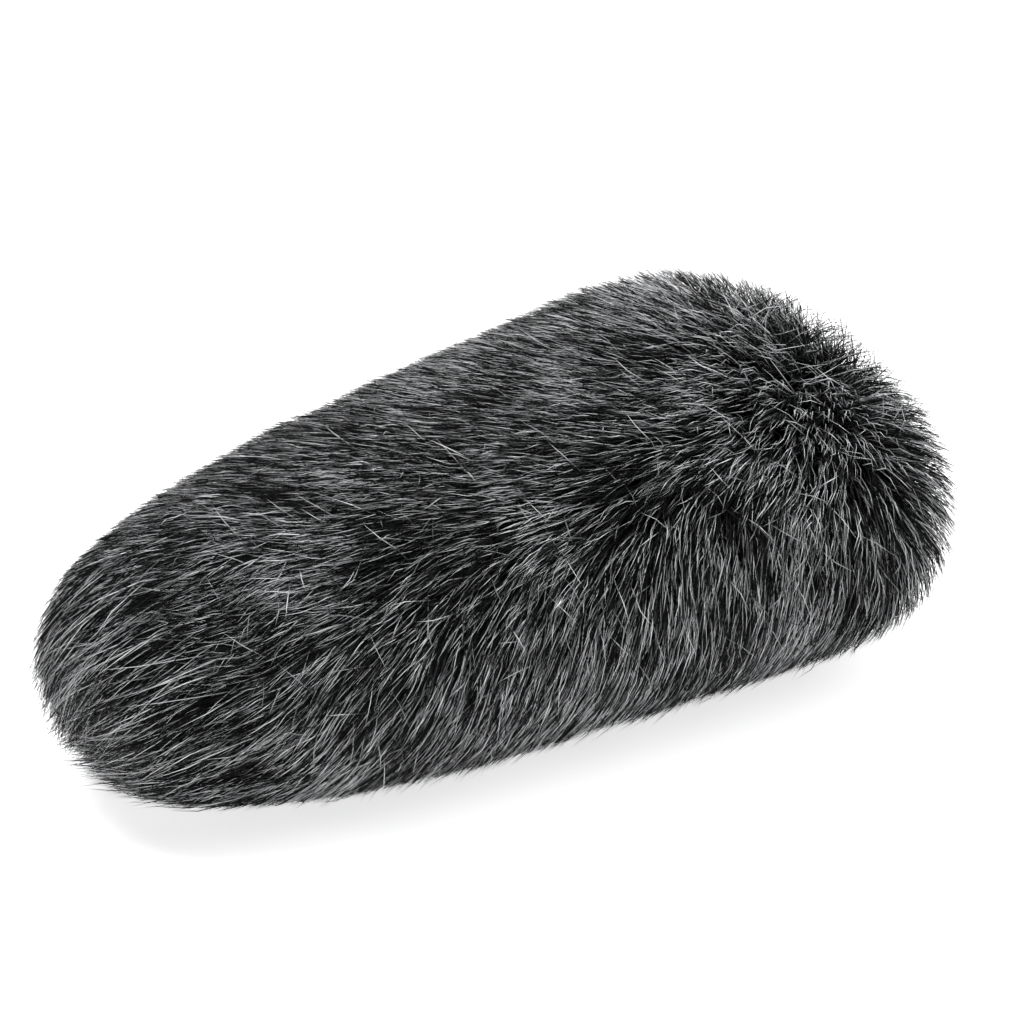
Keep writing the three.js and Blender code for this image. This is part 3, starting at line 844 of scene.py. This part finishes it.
def rounded(points, radius=0.35 * MM, steps=4):
    """A closed outline with its corners rounded off."""
    points = [np.array(p, float) for p in points]
    out = []
    for before, corner, after in zip([points[-1]] + points[:-1], points, points[1:] + [points[0]]):
        a, b = before - corner, after - corner
        cut = min(radius, 0.4 * np.linalg.norm(a), 0.4 * np.linalg.norm(b))
        start, end = corner + unit(a) * cut, corner + unit(b) * cut
        for t in np.linspace(0, 1, steps):
            out.append((1 - t) ** 2 * start + 2 * t * (1 - t) * corner + t * t * end)
    return out


def make_end_collar():
    """The moulded oval ring at the back of the foam."""
    low, high = collar_low.x, collar_high.x
    angle = full_turn(160)
    oval = insert_radius(np.array([[low]]), high + FUR_LENGTH, 0, angle, DOME_LENGTH)
    profile = rounded([(low, 0), (low, 1), (high, 1), (high, 0)], MOULDED_ROUND, 6)
    x = np.array([p[0] for p in profile])[:, None]
    share = np.array([p[1] for p in profile])[:, None]
    points = around_axis(x, lerp(COLLAR_HOLE, oval, share), angle)
    skin = Skin()
    skin.grid(np.concatenate([points, points[:1]]), True, (0, 1))
    weld(skin.piece("end_collar_moulding", PLASTIC, INSERT, "collar_plastic", ["end_collar"]))


def make_grommet():
    """The rubber grommet: a flange each side of the collar, and two lips that grip the microphone."""
    back, front = grommet_low.x, grommet_high.x
    neck_back, neck_front = back + FLANGE_THICK, front - FLANGE_THICK
    outline = [
        (back, LIP_R), (back, FLANGE_R), (neck_back, FLANGE_R), (neck_back, NECK_R),
        (neck_front, NECK_R), (neck_front, FLANGE_R), (front, FLANGE_R), (front, LIP_R),
        (front - LIP_WIDTH, LIP_R), (front - 2 * LIP_WIDTH, RELIEF_R),
        (back + 2 * LIP_WIDTH, RELIEF_R), (back + LIP_WIDTH, LIP_R),
    ]
    look = (RUBBER, INSERT, "grommet_rubber", ["mic_grommet"])
    turned_ring("mic_grommet_rubber", rounded(outline), 128, *look)


# ------------------------------------------------------------------ the cover's layers
LAYER_TAPE, TAPE_THICK, TAPE_WIDTH, NOSE_TAPE_WIDTH = 0.3 * MM, 0.8 * MM, 12 * MM, 9 * MM
LAYER_PAD = LAYER_TAPE + TAPE_THICK + GAP
SLIDE_ROOM, LINING_THICK = 0.6 * MM, 0.8 * MM
LINING_RIB, LINING_RIBS = 0.2 * MM, 54
PAD_ROUND, PAD_EDGE_ANGLE, PAD_PIT, NOSE_PAD_PIT = 2 * MM, 0.06, 0.5 * MM, 0.4 * MM
STITCH_DEPTH = 0.25 * MM
CASING_R, CASING_WALL, ELASTIC_R = 2.4 * MM, 0.5 * MM, 1.0 * MM
FOLD_DEPTH, FOLDS, BRAID_DEPTH, STRANDS = 0.35 * MM, 64, 0.08 * MM, 120
CORNERS = {
    "seam_tape_top_left": CORNER,
    "seam_tape_top_right": math.pi - CORNER,
    "seam_tape_belly_right": math.pi + CORNER,
    "seam_tape_belly_left": 2 * math.pi - CORNER,
}
PADS = {
    "foam_pad_top": (CORNER, math.pi - CORNER),
    "foam_pad_left": (-CORNER, CORNER),
    "foam_pad_belly": (math.pi + CORNER, 2 * math.pi - CORNER),
    "foam_pad_right": (math.pi - CORNER, math.pi + CORNER),
}


def make_backing():
    """The dark woven cloth that the pile grows from."""
    cols = 120
    outer, inner = (ring_grid(backing_rings(depth), cols) for depth in (-0.25 * MM, 0.0))
    skin = shell(outer, inner, tip=True)
    piece = skin.piece("fur_backing_cloth", BACKING, COVER, "fur", FUR_PANELS)


def make_foam_pads():
    """Four long pads and the nose pad, between the fur's backing and the pocket."""
    grow = SLIDE_ROOM + LINING_THICK + GAP
    tip = plug_high.x + grow
    low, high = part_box("foam_pad_top")[0].x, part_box("foam_pad_top")[1].x
    x = np.linspace(low, high, 80)[:, None]
    edge = np.clip(np.minimum(x - low, high - x) / PAD_ROUND, 0, 1)
    for name, (start, end) in PADS.items():
        angle = np.linspace(start, end, 50)[None]
        side = np.clip(np.minimum(angle - start, end - angle) / PAD_EDGE_ANGLE, 0, 1)
        inner = insert_radius(x, tip, grow, angle, DOME_LENGTH + grow)
        outer = backing_radius(x, LAYER_PAD, angle)
        crown = np.sqrt(edge * (2 - edge)) * np.sqrt(side * (2 - side))
        outer = pitted(outer - lerp(1.5 * MM, 0.1 * MM, crown), PAD_PIT)
        shift = GAP / 2 / np.maximum(outer, inner)
        turn = lerp(start + shift, end - shift, (angle - start) / (end - start))
        skin = shell(around_axis(x, outer, turn), around_axis(x, inner, turn), wrap=False)
        skin.piece(f"{name}_foam", FOAM, COVER, "foam", [name])
    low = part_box("foam_pad_nose")[0].x
    angle = full_turn(140)
    high = X_NOSE - PILE_NOSE - LAYER_PAD
    x_out = nose_stations(low, high, NOSE_ROUND - PILE_NOSE / 2, 1.5 * MM)
    x_in = np.linspace(0, 1, len(x_out))[:, None] ** 0.7 * (tip - 0.05 * MM - low) + low
    rings = np.stack(cover_section(x_out[:, 0], LAYER_PAD), 1)
    half_width, half_height = rings[:, 0] * rings[:, 3], rings[:, 1] * rings[:, 3]
    outer = ring_grid(np.stack([x_out[:, 0], half_width, half_height, rings[:, 2]], 1), 140)
    pits = pitted(np.zeros(outer.shape[:2]), NOSE_PAD_PIT)
    outer += pits[..., None] * unit(outer - np.array((low, 0, AXIS_Z)))
    inner = around_axis(x_in, insert_radius(x_in, tip, grow, angle, DOME_LENGTH + grow), angle)
    skin = shell(outer, inner, tip=True)
    skin.piece("foam_pad_nose_foam", FOAM, COVER, "foam", ["foam_pad_nose"])


def make_seam_tapes():
    """Twill tapes over the seams, under the backing, with a stitched channel along each edge."""
    low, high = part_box("seam_tape_top_left")[0].x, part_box("seam_tape_top_left")[1].x
    x = np.linspace(low, high, 120)[:, None]
    for name, corner in CORNERS.items():
        across = np.linspace(-0.5, 0.5, 25)[None]
        angle = corner + across * TAPE_WIDTH / backing_radius(x, LAYER_TAPE, np.array([[corner]]))
        seam = np.abs(np.abs(across) - 0.4) < 0.03
        stitch = STITCH_DEPTH * seam * (0.6 + 0.4 * np.cos(x / (0.4 * MM)))
        outer = backing_radius(x, LAYER_TAPE, angle) - stitch
        inner = backing_radius(x, LAYER_TAPE + TAPE_THICK, angle)
        skin = shell(around_axis(x, outer, angle), around_axis(x, inner, angle), wrap=False)
        piece = skin.piece(f"{name}_twill", TAPE, COVER, "seam_tape", [name])
    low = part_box("seam_tape_nose")[0].x
    angle = full_turn(150)
    x = np.linspace(low, low + NOSE_TAPE_WIDTH, 16)[:, None]
    outer, inner = (backing_radius(x, d, angle) for d in (LAYER_TAPE, LAYER_TAPE + TAPE_THICK))
    skin = shell(around_axis(x, outer, angle), around_axis(x, inner, angle))
    piece = skin.piece("seam_tape_nose_twill", TAPE, COVER, "seam_tape", ["seam_tape_nose"])


def make_pocket_lining():
    """The ribbed knitted sock that the insert slides in."""
    angle = full_turn(216)
    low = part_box("pocket_lining")[0].x
    grids = []
    for grow in (SLIDE_ROOM + LINING_THICK, SLIDE_ROOM):
        x = nose_stations(low, plug_high.x + grow, DOME_LENGTH + grow, 1.5 * MM)
        x = np.interp(np.linspace(0, 1, 100), np.linspace(0, 1, len(x)), x[:, 0])[:, None]
        ribs = LINING_RIB * (0.5 - 0.5 * np.cos(LINING_RIBS * angle)) * (1 if grow == SLIDE_ROOM else -0.5)
        radius = insert_radius(x, plug_high.x + grow, grow, angle, DOME_LENGTH + grow)
        grids.append(around_axis(x, radius + ribs * (radius > 5 * MM), angle))
    skin = shell(*grids, tip=True)
    piece = skin.piece("pocket_lining_knit", KNIT, COVER, "knit_lining", ["pocket_lining"])


def hem_tube(radius, count, rows):
    """A tube round the hem: radius is a function of the angle round the hem and round the tube."""
    turn = full_turn(count).T
    roll = full_turn(rows)
    wide, tall = HALF_WIDTH + SLIDE_ROOM + CASING_R, HALF_HEIGHT + SLIDE_ROOM + CASING_R
    y, z = wide * np.cos(turn), tall * np.sin(turn)
    out = unit(np.stack([tall * np.cos(turn), wide * np.sin(turn)], -1))
    size = radius(turn, roll)
    x = X_HEM + size * np.sin(roll)
    y = y + out[..., 0] * size * np.cos(roll)
    z = AXIS_Z + z + out[..., 1] * size * np.cos(roll)
    return np.stack([x, y, z], -1)


def ring_skin(*grids):
    """A closed tube, or a hollow one where an outer and an inner grid are given."""
    skin = Skin()
    for n, points in enumerate(grids):
        closed = np.concatenate([points, points[:1]])
        skin.grid(closed, True, (0.5 * n, 0.5 * n + 0.48), inward=n == 0)
    return skin


def make_hem():
    """The gathered casing round the mouth, and the braided elastic in it."""

    def gathers(turn, roll):
        fold = 0.5 + 0.5 * np.cos(FOLDS * turn + 1.5 * np.sin(3 * turn))
        stitch = STITCH_DEPTH * (np.cos(roll + 0.5 * math.pi) > 0.97)
        return CASING_R - FOLD_DEPTH * fold * (0.6 + 0.4 * np.cos(roll)) - stitch

    def hollow(turn, roll):
        return (CASING_R - CASING_WALL) * np.ones_like(turn + roll)

    outer = hem_tube(gathers, 512, 32)
    inner = hem_tube(hollow, 512, 16)
    skin = ring_skin(outer, inner)
    piece = skin.piece("hem_casing_gathered", KNIT, COVER, "knit_lining", ["hem_casing"])
    weld(piece)

    def braid(turn, roll):
        weave = np.cos(STRANDS * turn + 4 * roll) * np.cos(STRANDS * turn - 4 * roll)
        return ELASTIC_R - BRAID_DEPTH * (1 - weave)

    skin = ring_skin(hem_tube(braid, 720, 16))
    weld(skin.piece("hem_elastic_braid", ELASTIC, COVER, "elastic", ["hem_elastic"]))
    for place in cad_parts["elastic_crimp"].material_slots:
        place.material = STEEL


make_foam_sleeve()
make_foam_nose_plug()
make_bore_liner()
make_end_collar()
make_grommet()
make_foam_pads()
make_seam_tapes()
make_pocket_lining()
make_hem()
make_backing()


# ------------------------------------------------------------------ floor and light
FLOOR_RADIUS, SWEEP_RADIUS, WALL_TOP, FLOOR_SIDES = 3.0, 0.5, 1.0, 96
FLOOR_TONE, FLOOR_GLOW, WORLD_STRENGTH = 0.8, 0.7, 0.22
LIGHT_AIM = Vector((0, 0, 40 * MM))


def make_stage():
    """A plain pale floor that curves up into a wall, far round the object, glowing a little as painted light
    that lifts the object's shadow.
    """
    bend = np.linspace(0, math.pi / 2, 17)
    outermost = FLOOR_RADIUS + SWEEP_RADIUS
    radius = np.concatenate([[0.01, 1.0], FLOOR_RADIUS + SWEEP_RADIUS * np.sin(bend), [outermost]])
    height = np.concatenate([[0, 0], SWEEP_RADIUS * (1 - np.cos(bend)), [WALL_TOP]])
    turn = np.linspace(0, 2 * math.pi, FLOOR_SIDES, endpoint=False)
    verts = [(r * math.cos(t), r * math.sin(t), h) for r, h in zip(radius, height) for t in turn]
    faces = [tuple(range(FLOOR_SIDES))]
    for i in range(len(radius) - 1):
        near, far = FLOOR_SIDES * i, FLOOR_SIDES * (i + 1)
        for j in range(FLOOR_SIDES):
            k = (j + 1) % FLOOR_SIDES
            faces.append((near + j, far + j, far + k, near + k))
    mesh = bpy.data.meshes.new("floor")
    mesh.from_pydata(verts, [], faces)
    mesh.polygons.foreach_set("use_smooth", [True] * len(faces))
    floor = bpy.data.objects.new("floor", mesh)
    bpy.context.scene.collection.objects.link(floor)
    material, _, shader = new_material("floor")
    shader.inputs["Base Color"].default_value = (FLOOR_TONE, FLOOR_TONE, FLOOR_TONE, 1)
    shader.inputs["Roughness"].default_value = 0.9
    # The floor glows a little: painted light that lifts the object's shadow on it.
    shader.inputs["Emission Color"].default_value = (1, 1, 1, 1)
    shader.inputs["Emission Strength"].default_value = FLOOR_GLOW
    mesh.materials.append(material)


def area_light(name, place, size, power):
    """A square lamp that faces the object."""
    data = bpy.data.lights.new(name, "AREA")
    data.size = size
    data.energy = power
    light = bpy.data.objects.new(name, data)
    bpy.context.scene.collection.objects.link(light)
    light.location = place
    way = LIGHT_AIM - Vector(place)
    light.rotation_mode = "QUATERNION"
    light.rotation_quaternion = way.to_track_quat("-Z", "Y")


def make_lights():
    """A soft lamp overhead, a weaker one from the camera's side, and a dim white world."""
    world = bpy.data.worlds.new("world")
    world.use_nodes = True
    world.node_tree.nodes["Background"].inputs[0].default_value = (1, 1, 1, 1)
    world.node_tree.nodes["Background"].inputs[1].default_value = WORLD_STRENGTH
    bpy.context.scene.world = world
    area_light("overhead", (0.0, 0.2, 1.1), 1.2, 25)
    area_light("key", (0.3, -0.7, 0.9), 0.6, 5)


make_stage()
make_lights()
bpy.context.scene.view_settings.view_transform = "Standard"
